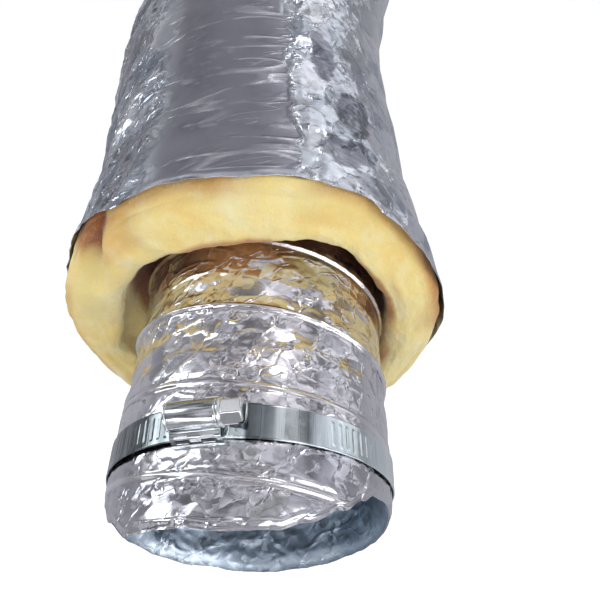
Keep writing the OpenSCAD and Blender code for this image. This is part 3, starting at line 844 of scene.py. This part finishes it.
def wool_piece(name, y0, y1, n, lip=False, rear=False):
    """The blanket as one wrapped strip: a closed loop of profile points at each angle, open at the butt seam."""
    span = 360.0 - 1.4
    a = SEAM_A + 0.7 + span * (np.arange(n) / (n - 1))
    # profile parameter: inner wall from the back to the front, round the front, outer wall back
    ni, nf, no = (40, 84, 24) if lip else (26, 22, 26)
    A = a[:, None]
    u = A / 360.0
    out = []
    ri0 = 55.6
    ro = sleeve_r
    rows = []
    if lip:
        aw = wrap180(A)
        yf = BARE + 0.8 + pchip(aw, [-180, -140, -110, -80, -40, 0, 30, 60, 90, 125, 180], [-6, -6.5, -3, 0, 0.4, 0.3, 2.2, 1.0, -0.5, -5, -6])
        yf = yf + 1.3 * lattice(u, 0 * u, 9, 10, 0, 540, "smooth") + 0.6 * lattice(u, 0 * u, 23, 10, 0, 541, "smooth")
        inner_r = pchip(aw, [-180, -130, -105, -90, -73, -62, -50, -42, -27, -16, 1, 13, 21, 29, 45, 56, 78, 100, 117, 150, 180],
                        [61, 64.5, 65.5, 61.2, 60.0, 60.0, 60.6, 59.0, 56.4, 55.9, 56.4, 58.3, 59.8, 59.2, 56.8, 56.2, 55.7, 56.6, 61, 63, 61])
        inner_r = inner_r + 0.7 * lattice(u, 0 * u, 17, 10, 0, 542, "smooth") + 0.4 * lattice(u, 0 * u, 41, 10, 0, 543, "smooth")
        inner_r = np.maximum(inner_r, 55.7)
        outer_r = 83.3 + 0.6 * smooth01((aw + 108) / 16) * smooth01((-42 - aw) / 8) + 0.9 * smooth01((np.abs(aw) - 88) / 20) + 0 * yf
        # inner wall
        t = np.linspace(0, 1, ni)[None, :]
        yi = y1 + (yf + 7 - y1) * (1 - (1 - t) ** 1.6)
        r_in = ri0 + (inner_r - ri0) * smooth01((yf + 34 - yi) / 24.0)
        rows.append((r_in, yi))
        # the cut face: a soft inner corner, a nearly flat slanting face, and a corner tucked under the jacket
        side_w = smooth01((np.abs(aw + 2) - 52) / 26)
        tk = smooth01((aw + 108) / 16) * smooth01((-42 - aw) / 8)
        c1, c2, lean = 6.5, 6.0 - 4.0 * tk, 8.0 - 6.5 * side_w
        q = np.linspace(0, 1, nf)[None, :]
        e1 = np.clip(q / 0.30, 0, 1) * np.pi / 2
        e2 = np.clip((q - 0.72) / 0.28, 0, 1) * np.pi / 2
        flat = np.clip((q - 0.30) / 0.42, 0, 1)
        rr = inner_r + c1 * (1 - np.cos(e1)) + (outer_r - inner_r - c1 - c2) * flat + c2 * np.sin(e2)
        yy = yf + 7 - 7 * np.sin(e1) + lean * flat ** 1.25 + c2 * 1.3 * (1 - np.cos(e2))
        bulge = np.sin(np.pi * np.clip(flat, 0, 1)) * 1.4
        yy = yy - bulge
        rows.append((rr[:, 1:-1], yy[:, 1:-1]))
        # outer wall
        y_out = yf + lean + c2 * 1.3
        t = np.linspace(0, 1, no)[None, :]
        yo = y_out + (y1 - y_out) * t ** 1.4
        r_out = ro(yo) - 0.95 + 0.8 * sleeve_soft(u, yo) * smooth01((yo - 125) / 20.0)
        r_out = outer_r + (r_out - outer_r) * smooth01((yo - y_out) / 12.0)
        rows.append((r_out, yo))
    else:
        t = np.linspace(0, 1, ni)[None, :]
        rows.append((np.full((n, ni), ri0), np.broadcast_to(y1 + (y0 - y1) * t, (n, ni))))
        t = np.linspace(0, 1, nf)[None, 1:-1]
        rr = ri0 + (ro(np.full_like(u, y0)) - 1.0 - ri0) * t
        rows.append((rr, np.broadcast_to(y0 + 0 * t, rr.shape)))
        t = np.linspace(0, 1, no)[None, :]
        yo = np.broadcast_to(y0 + (y1 - y0) * t, (n, no))
        rows.append((ro(yo) - 0.95 + 0.8 * sleeve_soft(u, yo) - 0.4, yo))
    # the back face closes the loop
    R = np.concatenate([np.broadcast_to(x, (n, x.shape[1])) for x, _ in rows], 1)
    Y = np.concatenate([np.broadcast_to(y, (n, y.shape[1])) for _, y in rows], 1)
    nb = 16
    tb = np.linspace(0, 1, nb + 2)[None, 1:-1]
    Rb = R[:, -1:] + (R[:, :1] - R[:, -1:]) * tb
    Yb = np.broadcast_to(Y[:, -1:] + 0 * tb, Rb.shape)
    R = np.concatenate([R, Rb], 1)
    Y = np.concatenate([Y, Yb], 1)
    U = np.broadcast_to(u, R.shape)
    # lumps and fibres, along a rough outward direction of the profile
    k = R.shape[1]
    face = np.zeros(k)
    if lip:
        face[ni - 12:ni + nf - 2] = 1.0
        face[ni - 24:ni - 12] = np.linspace(0.1, 1, 12)
    else:
        face[:] = 0.0
    if rear:
        face[-nb:] = 0.8
    dR = np.roll(R, -1, 1) - np.roll(R, 1, 1)
    dY = np.roll(Y, -1, 1) - np.roll(Y, 1, 1)
    L = np.hypot(dR, dY) + 1e-6
    nR, nY = -dY / L, dR / L      # turned so that it points out of the wool
    s = np.cumsum(np.concatenate([np.zeros((n, 1)), np.hypot(np.diff(R, axis=1), np.diff(Y, axis=1))], 1), 1)
    lump = wool_lump(U, s) * face[None, :]
    sgn = -1.0
    R = R + sgn * nR * lump * 0.95
    Y = Y + sgn * nY * lump * 0.95
    R = np.where(Y > LIP - 7, np.minimum(R, jacket_face(np.broadcast_to(A, R.shape), Y) - 1.05), R)
    # rounded strip ends at the seam
    d0 = 5.0
    dist = np.minimum(np.arange(n), np.arange(n)[::-1])[:, None] * span / (n - 1) * math.pi / 180 * 70
    sc = np.sqrt(np.clip(1 - ((d0 - dist) / d0).clip(0, 1) ** 2, 0.02, 1))
    cR, cY = R.mean(1, keepdims=True), None
    R = cR + (R - cR) * (0.35 + 0.65 * sc)
    if lip:
        Y = np.where(face[None, :] > 0, Y + (1 - sc) * 5.0, Y)
    X = sleeve_x(Y) * smooth01((R - 56.5) / 18.0)
    P = polar(R, Y, np.broadcast_to(A, R.shape), X, 0 * X)
    tuck = np.zeros_like(R)
    if lip:
        # the strip's upper end stands proud; what comes round from below is tucked back behind its edge
        px, pz = P[..., 0], P[..., 2]
        edge = -59.0 - 0.16 * (60 - pz) + 0.9 * lattice(U, s, 40, 7, 1, 571, "smooth")
        near = smooth01((BARE + 60 - P[..., 1]) / 20.0)
        tuck = smooth01((edge - px) / 2.4) * smooth01((pz - 24) / 18.0) * near
        P[..., 1] += 12.0 * tuck * (1 - 0.45 * smooth01((R - 76) / 6))
        P[..., 1] -= 1.2 * np.exp(-((edge - px + 2.5) / 3.0) ** 2) * smooth01((pz - 22) / 14.0) * near * (P[..., 1] < BARE + 14)
    verts = P.reshape(-1, 3)
    f = [grid_faces(n, k, 0, True, True)]
    c0, c1 = P[0].mean(0), P[-1].mean(0)
    m = len(verts)
    verts = np.concatenate([verts, [c0, c1]])
    j = np.arange(k)
    jn = (j + 1) % k
    f += [np.stack([jn, j, 0 * j + m], -1)[:, ::-1], np.stack([(n - 1) * k + j, (n - 1) * k + jn, 0 * j + m + 1], -1)[:, ::-1]]
    # colour: brown stains at random, darker towards the jacket's edge and round the inner edge; painted shadow in the
    # tucked recess and along the inner edge left of the core; painted deep shade in the gap
    aw = wrap180(np.broadcast_to(A, R.shape))
    if lip:
        st = smooth01((lattice(U, s, 17, 9, 1, 560, "smooth") - 0.25) / 0.6) * 0.35
        outer_edge = smooth01((R - 77.5) / 5.0)
        st = st + 0.55 * outer_edge * smooth01((lattice(U, 0 * s, 10, 9, 0, 561, "smooth") + 0.15) / 0.5)
        st = st + 0.6 * np.exp(-((aw + 9) / 9.0) ** 2) * smooth01((R - 74) / 7.0)
        st = st + 0.3 * np.exp(-((aw - 22) / 7.0) ** 2) * smooth01((R - 76) / 6.0)
        # painted shadow in the recess behind the proud upper end
        st = st + 0.95 * tuck * smooth01((P[..., 2] - 33) / 14.0)
        inner_edge = smooth01((62.5 - R) / 3.5) * (Y < BARE + 40)
        st = st + 0.85 * inner_edge * smooth01((lattice(U, 0 * s, 12, 9, 0, 562, "smooth") + 0.45) / 0.6)
        # painted shadow along the inner edge left of the core
        st = st + 0.7 * inner_edge * smooth01((24 - np.abs(aw + 74)) / 8)
        # painted deep shade in the gap round the core and behind the proud edge
        dp = smooth01((Y - (BARE + 9)) / 9.0) * smooth01((63.0 - R) / 3.0)
        dp = np.clip(dp, 0, 1) * 0.9
        dp = np.maximum(dp, 0.85 * tuck * smooth01((P[..., 2] - 34) / 10.0) * np.exp(-((edge - px) / 11.0) ** 2))
        st = np.clip(st, 0, 0.92)
    else:
        st = 0.15 * smooth01(lattice(U, s, 17, 9, 1, 560, "smooth"))
        dp = 0 * st
    at = {"stain": np.concatenate([st.ravel(), [0, 0]]), "deep": np.concatenate([dp.ravel(), [0, 0]])}
    ob = new_mesh(name, verts, f, True, at)
    finish(ob, wool_mat)
    return ob


o = wool_piece("glass_wool_cuff", BARE, CUFF_END, 600, lip=True)
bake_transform(o)
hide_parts("insulation_cuff", "insulation_gather", "insulation_front")
WOOL_CAD = {"mid_front": ("insulation_swing", "insulation_mid_front"), "mid_rear": ("insulation_lift", "insulation_mid_rear"),
            "rear": ("insulation_stretch", "insulation_rear")}
for (y0, y1), (a_, b_, s_, e_, tag) in zip(ZONES, BLENDS):
    o = wool_piece(f"glass_wool_{tag}", y0, y1, 240, rear=(tag == "rear"))
    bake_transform(o)
    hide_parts(*WOOL_CAD[tag])


# ------------------------------------------------------------------ clamp
def clamp_place(P):
    """Local clamp frame (housing on top, +X towards the screw's head) to the duct's frame, mm."""
    a = math.radians(HOUSE_A)
    P = np.asarray(P, float)
    x, y, z = P[..., 0], P[..., 1], P[..., 2]
    return np.stack([x * math.cos(a) + z * math.sin(a), y + BAND_Y, -x * math.sin(a) + z * math.cos(a)], -1)


def band_piece(name, f0, f1, r_of, plain, step=0.28):
    """A strip round the duct from angle f0 to f1 (from the housing), with rounded edges and worm grooves."""
    n = int(abs(f1 - f0) * math.pi / 180 * 54 / step) + 1
    f = np.linspace(f0, f1, n)[:, None]
    w, t = 6.0, 0.6
    ys = np.concatenate([np.linspace(-w + 0.25, w - 0.25, 34)])
    # cross-section loop: outer face, rounded edge, inner face, rounded edge
    cs = [(y, t) for y in ys] + [(w - 0.07, t - 0.09), (w, t / 2), (w - 0.07, 0.09)]
    cs += [(y, 0.0) for y in ys[::-1]] + [(-w + 0.07, 0.09), (-w, t / 2), (-w + 0.07, t - 0.09)]
    cs = np.array(cs)
    y, h = cs[:, 0][None, :], cs[:, 1][None, :]
    s = f * math.pi / 180 * 54.4
    phase = np.mod(s + y * 0.055 + 1.5, 3.0) - 1.5
    inside = smooth01((4.3 - np.abs(y)) / 0.7)
    groove = smooth01((0.70 - np.abs(phase)) / 0.35) * inside
    act = np.broadcast_to(1.0 - smooth01((plain[1] - f) / 1.0) * smooth01((f - plain[0]) / 1.0), f.shape)
    depth = 0.085 * groove * act
    r = r_of(f) + h - depth
    P = clamp_place(polar(r, np.broadcast_to(y, r.shape), np.broadcast_to(f, r.shape)))
    k = cs.shape[0]
    verts = P.reshape(-1, 3)
    m = len(verts)
    verts = np.concatenate([verts, [P[0].mean(0), P[-1].mean(0)]])
    j = np.arange(k)
    jn = (j + 1) % k
    fa = [grid_faces(n, k, 0, True, True)]
    fa += [np.stack([j, jn, 0 * j + m], -1), np.stack([(n - 1) * k + jn, (n - 1) * k + j, 0 * j + m + 1], -1)]
    # darker just to the right of the screw, with a thin dark line beyond it; round to the left of the housing a painted
    # dark reflection; plain beyond; random rubbed variation over it all
    aw = wrap180(f + HOUSE_A) + 0 * r
    rub = 0.12 * lattice(aw / 360.0, y * 0.2 + 0 * r, 260, 10, 0, 801) + 0.12 * lattice(aw / 360.0, y * 0.2 + 0 * r, 90, 10, 0, 802)
    dark = 0.9 * smooth01((aw - 0.5) / 1.5) * smooth01((14.0 - aw) / 4.0)
    dark = np.maximum(dark, 0.35 * np.exp(-((aw - 23) / 0.8) ** 2))
    dark = np.maximum(dark, 0.75 * smooth01((-20 - aw) / 3) * smooth01((aw + 100) / 20))
    dark = np.clip(dark + rub * (0.4 + dark), 0, 1)
    ob = new_mesh(name, verts, fa, True, {"dark": np.concatenate([dark.ravel(), [0, 0]])})
    finish(ob, band_mat)
    return ob


def r_fixed(f):
    return BAND_RI + 0 * f


def r_tail(f):
    # climbs on to the fixed end before the housing, flattened a little under the worm
    return BAND_RI + (TONGUE_RI + 0.02 - BAND_RI) * smooth01((f + 62) / 40.0)


o = band_piece("clamp_band_loop", -8.5, 270, r_fixed, (-12, 46))
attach(o, "clamp")
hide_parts("clamp_band")
o = band_piece("clamp_band_tail", -90, 21, r_tail, (13.5, 40))
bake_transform(o)
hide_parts("clamp_band_tongue")


def box_verts(x0, x1, y0, y1, z0, z1):
    return [(x, y, z) for x in (x0, x1) for y in (y0, y1) for z in (z0, z1)]


BOX_F = np.array([(0, 1, 3, 2), (4, 6, 7, 5), (0, 4, 5, 1), (2, 3, 7, 6), (0, 2, 6, 4), (1, 5, 7, 3)])


def extruded(profile, x0, x1, nx=2):
    """Returns the closed YZ outline as an array, with x0 and x1; nothing is swept or split."""
    p = np.asarray(profile, float)
    return p, x0, x1


def add_bevel(ob, width, segments=2, angle=0.6):
    b = ob.modifiers.new("edges", "BEVEL")
    b.width = width * MM
    b.segments = segments
    b.limit_method = "ANGLE"
    b.angle_limit = angle
    b.harden_normals = False
    return b


def join_boxes(name, boxes, place=clamp_place, bevel=0.12):
    verts, faces = [], []
    for b in boxes:
        n = len(verts)
        verts += box_verts(*b)
        faces.append(BOX_F + n)
    ob = new_mesh(name, place(np.array(verts)), faces, False)
    if bevel:
        add_bevel(ob, bevel)
    return ob


def strip_mesh(outline, x0, x1, t, nx, endround=0.0):
    """A sheet of thickness t whose YZ centre-line is outline (k,2), swept along X: verts and faces."""
    c = np.asarray(outline, float)
    d = np.gradient(c, axis=0)
    d /= np.linalg.norm(d, axis=1, keepdims=True)
    nrm = np.stack([-d[:, 1], d[:, 0]], -1)
    loop = np.concatenate([c + nrm * t / 2, (c - nrm * t / 2)[::-1]])
    xs = np.linspace(x0, x1, nx)
    k = len(loop)
    V = np.stack([np.broadcast_to(xs[:, None], (nx, k)), np.broadcast_to(loop[None, :, 0], (nx, k)), np.broadcast_to(loop[None, :, 1], (nx, k))], -1)
    F = [grid_faces(nx, k, 0, True, False)]
    h = k // 2
    j = np.arange(h - 1)
    cap = np.stack([j, j + 1, k - 2 - j, k - 1 - j], -1)
    F += [cap, (cap + (nx - 1) * k)[:, ::-1]]
    return V.reshape(-1, 3), F


def recalc(ob):
    import bmesh
    bm = bmesh.new()
    bm.from_mesh(ob.data)
    bmesh.ops.recalc_face_normals(bm, faces=bm.faces)
    bm.to_mesh(ob.data)
    bm.free()


# housing: a barrel over the worm, rolled from 0.5 mm sheet, opening into shelves and side walls
ra, t_h = 4.47, 0.5
out = []
for s in np.linspace(-1, 1, 41):
    ang = s * math.radians(104)
    out.append((ra * math.sin(ang), SCREW_Z + ra * math.cos(ang)))
left_tail = [(-7.05, 54.5), (-6.98, 55.1), (-6.85, 55.9), (-6.65, 56.6), (-6.35, 57.05), (-5.9, 57.25), (-5.3, 57.35), (-4.8, 57.55), (-4.5, 57.9)]
right_tail = [(-x, z) for x, z in left_tail]
centre = left_tail + out + right_tail[::-1]
V, F = strip_mesh(centre, -8.6, 8.6, t_h, 2)
yy = np.array([c[0] for c in centre])
zz = np.array([c[1] for c in centre])
arc = np.degrees(np.arctan2(yy, zz - SCREW_Z))
# painted reflection: light and dark bands along the barrel's arc stand in for the room seen in the metal
shade_ = np.interp(arc, [-180, -112, -100, -86, -74, -60, -46, -34, -22, -8, 8, 22, 34, 48, 60, 74, 96, 180],
                   [0.25, 0.3, 0.7, 0.35, 0.0, 0.0, 0.0, 0.15, 0.4, 0.25, 0.35, 0.5, 0.6, 0.35, 0.7, 0.1, 0.4, 0.2])
shade_ = np.concatenate([shade_, shade_[::-1]])
o = new_mesh("clamp_housing_cover", clamp_place(V), F, True, {"dark": np.concatenate([shade_, shade_])})
recalc(o)
add_bevel(o, 0.14, 2, 0.9)
finish(o, house_mat)
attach(o, "clamp")
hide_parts("clamp_housing")
# rolled rims at both ends of the barrel
for tag, x0, x1 in (("head", 7.9, 8.7), ("tip", -8.7, -7.9)):
    V, F = strip_mesh([(4.68 * math.sin(q), SCREW_Z + 4.68 * math.cos(q)) for q in np.linspace(-1.75, 1.75, 37)], x0, x1, 0.5, 2)
    o = new_mesh(f"clamp_housing_rim_{tag}", clamp_place(V), F, True)
    recalc(o)
    add_bevel(o, 0.16, 2, 0.9)
    finish(o, house_mat)
    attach(o, "clamp")
    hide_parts("clamp_housing")


def lathe(name, profile, seg, cap=True, radius_fn=None):
    """profile: (x, r) along local X about the screw's axis; radius_fn(x, phi, r) may change r."""
    p = np.asarray(profile, float)
    ph = np.arange(seg) / seg * 2 * np.pi
    X = np.broadcast_to(p[:, 0][:, None], (len(p), seg))
    Rr = np.broadcast_to(p[:, 1][:, None], (len(p), seg)).copy()
    if radius_fn:
        Rr = radius_fn(X, np.broadcast_to(ph[None, :], X.shape), Rr)
    V = np.stack([X, Rr * np.sin(ph)[None, :], SCREW_Z + Rr * np.cos(ph)[None, :]], -1)
    verts = V.reshape(-1, 3)
    k = len(verts)
    verts = np.concatenate([verts, [[p[0, 0], 0, SCREW_Z], [p[-1, 0], 0, SCREW_Z]]])
    j = np.arange(seg)
    jn = (j + 1) % seg
    F = [grid_faces(len(p), seg, 0, True, False),
         np.stack([jn, j, 0 * j + k], -1), np.stack([(len(p) - 1) * seg + j, (len(p) - 1) * seg + jn, 0 * j + k + 1], -1)]
    ob = new_mesh(name, clamp_place(verts), F, True)
    recalc(ob)
    return ob


# end rings that carry the worm
def ring_piece(name, x0, x1, ri, ro, seg=64):
    prof = [(x0, ri), (x0, ro - 0.1), (x0 + 0.1, ro), (x1 - 0.1, ro), (x1, ro - 0.1), (x1, ri)]
    p = np.array(prof)
    ph = np.arange(seg) / seg * 2 * np.pi
    V = np.stack([np.broadcast_to(p[:, 0][:, None], (6, seg)), p[:, 1][:, None] * np.sin(ph), SCREW_Z + p[:, 1][:, None] * np.cos(ph)], -1)
    i = np.arange(6)[:, None]
    j = np.arange(seg)[None, :]
    q = np.stack([i * seg + j, i * seg + (j + 1) % seg, ((i + 1) % 6) * seg + (j + 1) % seg, ((i + 1) % 6) * seg + j], -1).reshape(-1, 4)
    ob = new_mesh(name, clamp_place(V.reshape(-1, 3)), [q], False)
    recalc(ob)
    finish(ob, house_mat)
    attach(ob, "clamp")
    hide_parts("clamp_housing")
    return ob


ring_piece("clamp_housing_ring_head", 7.6, 8.2, 2.26, 4.35)
ring_piece("clamp_housing_ring_tip", -8.2, -7.6, 1.86, 4.35)

# saddle: curved plate under the band, side flanges rolled over the housing's skirt, two tabs a side
sweep_n = 40
ang = np.linspace(-9.6, 9.6, sweep_n)[:, None]
lo, hi = -8.15, 8.15
cs = np.array([(lo, 0.0), (hi, 0.0), (hi, 1.25), (hi - 0.2, 1.5), (hi - 0.5, 1.5), (hi - 0.7, 1.25), (hi - 0.7, 0.42),
               (lo + 0.7, 0.42), (lo + 0.7, 1.25), (lo + 0.5, 1.5), (lo + 0.2, 1.5), (lo, 1.25)])
r = 53.17 + cs[:, 1][None, :] + 0 * ang
P = clamp_place(polar(r, np.broadcast_to(cs[:, 0][None, :], r.shape), np.broadcast_to(ang, r.shape)))
k = len(cs)
verts = P.reshape(-1, 3)
F = [grid_faces(sweep_n, k, 0, True, False)]
caps = np.array([(0, 1, 6, 7), (1, 2, 5, 6), (2, 3, 4, 5), (0, 7, 8, 11), (8, 9, 10, 11)])
F += [caps, caps + (sweep_n - 1) * k]
o = new_mesh("clamp_saddle_plate", verts, F, True)
recalc(o)
add_bevel(o, 0.08, 2, 0.7)
finish(o, house_mat)
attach(o, "clamp")
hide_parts("clamp_saddle")
tabs, slot_shadows = [], []
for sy in (-1, 1):
    for x in (-7.0, 1.9):
        # a dark box painted as the shade in a slot through the wall (no hole is cut), and the saddle's tab folded
        # through it
        y0_, y1_ = sorted((sy * 6.9, sy * 7.36))
        slot_shadows.append((x, x + 4.9, y0_, y1_, 55.0, 56.35))
        y0_, y1_ = sorted((sy * 6.95, sy * 7.62))
        tabs.append((x + 0.35, x + 4.55, y0_, y1_, 54.75, 55.35))
        y0_, y1_ = sorted((sy * 5.6, sy * 7.1))
        tabs.append((x + 0.2, x + 4.7, y0_, y1_, 56.95, 57.5))
o = join_boxes("clamp_saddle_tabs", tabs, bevel=0.14)
finish(o, screw_mat)
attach(o, "clamp")
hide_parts("clamp_saddle")
# dark boxes as painted shade in the wall's slots
o = join_boxes("clamp_housing_slot_shadows", slot_shadows, bevel=0.05)
finish(o, slot_mat)
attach(o, "clamp")
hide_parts("clamp_housing")

# screw: tip, worm, neck, collar and chamfered hexagon head, one turned piece with a slot
xs, rsn = [], []


def seg_to(x1, r, n=2, x0=None):
    start = xs[-1] if x0 is None else x0
    for x in np.linspace(start, x1, n):
        xs.append(float(x))
        rsn.append(r)


xs.append(-8.6)
rsn.append(1.5)
xs.append(-8.4)
rsn.append(1.8)
seg_to(-7.1, 1.8)
xs.append(-7.0)
rsn.append(2.75)
worm_from = len(xs)
seg_to(7.0, 2.9, 150)
worm_to = len(xs)
xs.append(7.1)
rsn.append(2.2)
seg_to(8.72, 2.2)
xs += [8.76, 8.9, 9.62, 9.74]
rsn += [4.6, 4.8, 4.8, 4.6]
head_from = len(xs)
xs += [9.76]
rsn += [9.0]
seg_to(16.95, 9.0, 40)


def screw_r(X, PH, Rr):
    Rr = Rr.copy()
    w = slice(worm_from, worm_to)
    ph = np.mod(X[w] - 3.0 * PH[w] / (2 * np.pi) + 1.5, 3.0) - 1.5
    crest = smooth01((1.0 - np.abs(ph)) / 0.55)
    fade = smooth01((X[w] + 6.9) / 1.2) * smooth01((6.9 - X[w]) / 1.2)
    Rr[w] = 2.85 + 1.3 * crest * fade
    h = slice(head_from, None)
    q = np.mod(PH[h] + np.pi / 6, np.pi / 3) - np.pi / 6
    hexr = 4.0 / np.cos(q)
    hexr = hexr - 0.06 * smooth01((np.abs(q) - 0.46) / 0.06)
    ch = np.minimum(3.75 + (X[h] - 9.74) * 1.6, 3.55 + (16.95 - X[h]) * 1.9)
    Rr[h] = np.minimum(hexr, ch)
    return Rr


o = lathe("clamp_screw_turned", list(zip(xs, rsn)), 120, radius_fn=screw_r)
# slot across the head's end
cut = new_mesh("slot_cutter", clamp_place(np.array(box_verts(15.2, 18.5, -6.0, 6.0, SCREW_Z - 0.6, SCREW_Z + 0.6))), [BOX_F], False)
recalc(cut)
b = o.modifiers.new("slot", "BOOLEAN")
b.operation = "DIFFERENCE"
b.object = cut
b.solver = "EXACT"
dg = bpy.context.evaluated_depsgraph_get()
me = bpy.data.meshes.new_from_object(o.evaluated_get(dg), depsgraph=dg)
o.modifiers.clear()
o.data = me
bpy.data.objects.remove(cut)
finish(o, screw_mat)
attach(o, "worm_screw")
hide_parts("clamp_screw")

# ------------------------------------------------------------------ floor, light, camera
FLOOR_Z = -0.43      # low enough for the duct to bend down over it
me = bpy.data.meshes.new("floor")
me.from_pydata([(-9, -9, FLOOR_Z), (9, -9, FLOOR_Z), (9, 9, FLOOR_Z), (-9, 9, FLOOR_Z)], [], [(0, 1, 2, 3)])
floor = bpy.data.objects.new("floor", me)
bpy.context.collection.objects.link(floor)
m = Nodes("floor_pale")
m.set(Base_Color=m.mix(m.noise(4, 2, 0.5), (0.92, 0.92, 0.92), (0.95, 0.95, 0.95)), Roughness=0.8)
m.set(Emission_Color=(1, 1, 1, 1), Emission_Strength=0.34)
dim = m.nt.nodes.new("ShaderNodeBsdfDiffuse")
dim.inputs[0].default_value = (0.55, 0.55, 0.57, 1)
path = m.nt.nodes.new("ShaderNodeLightPath")
mixs = m.nt.nodes.new("ShaderNodeMixShader")
m.link(path.outputs["Is Camera Ray"], mixs.inputs[0])
m.link(dim.outputs[0], mixs.inputs[1])
m.link(m.bsdf.outputs[0], mixs.inputs[2])
m.link(mixs.outputs[0], m.out.inputs[0])
floor.data.materials.append(m.mat)

world = bpy.data.worlds.new("studio")
bpy.context.scene.world = world
world.use_nodes = True
nt = world.node_tree
nt.nodes.clear()
wo = nt.nodes.new("ShaderNodeOutputWorld")
bg = nt.nodes.new("ShaderNodeBackground")
tc = nt.nodes.new("ShaderNodeTexCoord")
sep = nt.nodes.new("ShaderNodeSeparateXYZ")
nt.links.new(tc.outputs["Generated"], sep.inputs[0])
ramp = nt.nodes.new("ShaderNodeValToRGB")
el = ramp.color_ramp.elements
stops = [(0.0, (0.45, 0.45, 0.46)), (0.50, (0.50, 0.51, 0.53)), (0.60, (0.46, 0.47, 0.50)), (0.72, (0.25, 0.255, 0.28)),
         (0.82, (0.32, 0.32, 0.35)), (0.90, (0.56, 0.55, 0.58)), (0.96, (0.42, 0.43, 0.46)), (1.0, (0.55, 0.55, 0.56))]
while len(el) < len(stops):
    el.new(0.5)
for e, (p, c) in zip(el, stops):
    e.position, e.color = p, (*c, 1)
mr = nt.nodes.new("ShaderNodeMapRange")
mr.inputs["From Min"].default_value = -1
mr.inputs["From Max"].default_value = 1
nt.links.new(sep.outputs["Z"], mr.inputs[0])
nt.links.new(mr.outputs[0], ramp.inputs[0])
nz = nt.nodes.new("ShaderNodeTexNoise")
nz.inputs["Scale"].default_value = 4.2
nz.inputs["Detail"].default_value = 2.5
nt.links.new(tc.outputs["Generated"], nz.inputs["Vector"])
nr = nt.nodes.new("ShaderNodeMapRange")
for k_, v_ in zip(("From Min", "From Max", "To Min", "To Max"), (0.40, 0.60, 0.30, 1.75)):
    nr.inputs[k_].default_value = v_
nt.links.new(nz.outputs["Fac"], nr.inputs[0])
mul = nt.nodes.new("ShaderNodeMix")
mul.data_type = "RGBA"
mul.blend_type = "MULTIPLY"
mul.inputs[0].default_value = 1.0
nt.links.new(ramp.outputs[0], mul.inputs[6])
nt.links.new(nr.outputs[0], mul.inputs[7])
side = nt.nodes.new("ShaderNodeMapRange")
for k_, v_ in zip(("From Min", "From Max", "To Min", "To Max"), (-0.2, 0.7, 1.0, 1.7)):
    side.inputs[k_].default_value = v_
nt.links.new(sep.outputs["X"], side.inputs[0])
mul2 = nt.nodes.new("ShaderNodeMix")
mul2.data_type = "RGBA"
mul2.blend_type = "MULTIPLY"
mul2.inputs[0].default_value = 1.0
nt.links.new(mul.outputs[2], mul2.inputs[6])
nt.links.new(side.outputs[0], mul2.inputs[7])
nt.links.new(mul2.outputs[2], bg.inputs[0])
bg.inputs[1].default_value = 1.08
# the camera sees a plain backdrop; the foil sees the room
plain = nt.nodes.new("ShaderNodeBackground")
plain.inputs[0].default_value = (0.93, 0.935, 0.94, 1)
lp = nt.nodes.new("ShaderNodeLightPath")
ws = nt.nodes.new("ShaderNodeMixShader")
nt.links.new(lp.outputs["Is Camera Ray"], ws.inputs[0])
nt.links.new(bg.outputs[0], ws.inputs[1])
nt.links.new(plain.outputs[0], ws.inputs[2])
nt.links.new(ws.outputs[0], wo.inputs[0])


def area(name, loc, target, size, power, colour=(1, 1, 1)):
    li = bpy.data.lights.new(name, "AREA")
    li.shape = "RECTANGLE"
    li.size, li.size_y = size
    li.energy = power
    li.color = colour
    ob = bpy.data.objects.new(name, li)
    ob.location = loc
    ob.rotation_euler = (Vector(target) - Vector(loc)).to_track_quat("-Z", "Y").to_euler()
    bpy.context.collection.objects.link(ob)
    return ob


area("key", (1.0, -0.95, 1.3), (0, 0.1, 0), (1.5, 1.1), 8.5)
area("right", (1.3, -0.55, 0.5), (0, 0.1, 0), (0.6, 0.9), 3.5)
area("left", (-1.4, 0.5, 0.75), (0, 0.12, 0), (0.5, 1.2), 5.5, (0.92, 0.96, 1.0))
area("front", (-0.45, -0.8, 0.40), (0, 0.03, 0.05), (0.9, 0.2), 3.2)
area("strip", (0.55, 1.5, 1.25), (0, 0.1, 0), (0.12, 0.7), 2.0)

cam_data = bpy.data.cameras.new("camera")
cam = bpy.data.objects.new("camera", cam_data)
bpy.context.collection.objects.link(cam)
cam_data.sensor_width = 36
cam_data.sensor_fit = "HORIZONTAL"
cam_data.lens = 37.8
cam_data.clip_start = 0.01
C = Vector((20.459, -52.983, 238.656)) * MM
th, ps = 0.937, -0.023
fw = Vector((math.sin(ps) * math.cos(th), math.cos(ps) * math.cos(th), -math.sin(th)))
cam.location = C
cam.rotation_euler = fw.to_track_quat("-Z", "Y").to_euler()
bpy.context.scene.camera = cam
bpy.context.scene.view_settings.view_transform = "Standard"
bpy.context.scene.view_settings.look = "None"
